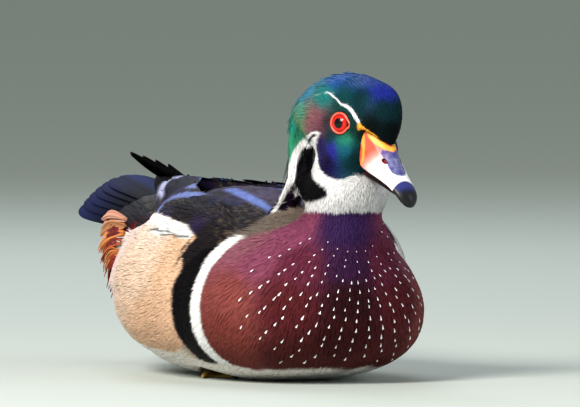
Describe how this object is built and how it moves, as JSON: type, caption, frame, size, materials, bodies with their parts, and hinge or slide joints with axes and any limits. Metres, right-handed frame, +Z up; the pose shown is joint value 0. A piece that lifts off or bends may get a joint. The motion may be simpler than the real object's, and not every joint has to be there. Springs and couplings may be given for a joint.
{
  "type": "wood duck",
  "caption": "Life-size still model of a drake wood duck resting on its flat belly, neck drawn in and feet tucked under.",
  "frame": {"origin": "middle of the flat under the belly that the bird rests on", "axes": "+X from tail to breast, +Y to the bird's left, +Z up"},
  "size_m": [0.3778, 0.145, 0.1576],
  "materials": {
    "burgundy_feather": "soft feather with a faint sheen",
    "white_feather": "soft white feather",
    "green_feather": "glossy iridescent feather",
    "bronze_black_feather": "satin feather with a blue and bronze sheen",
    "buff_feather": "soft feather with fine dark lines",
    "orange_plume": "loose soft plume",
    "bill_horn": "smooth satin horn",
    "bill_dark": "smooth satin horn",
    "red_eye": "wet and glossy",
    "foot_skin": "scaly skin"
  },
  "bodies": {
    "root": {"torso": "burgundy_feather", "neck": "white_feather", "head": "green_feather", "mane": "green_feather", "bill_upper": "bill_horn", "bill_lower": "bill_dark", "eye_left": "red_eye", "eye_right": "red_eye", "wing_left": "bronze_black_feather", "wing_right": "bronze_black_feather", "flank_left": "buff_feather", "flank_right": "buff_feather", "plume_left": "orange_plume", "plume_right": "orange_plume", "tail": "bronze_black_feather", "leg_left": "foot_skin", "leg_right": "foot_skin"}
  },
  "joints": []
}
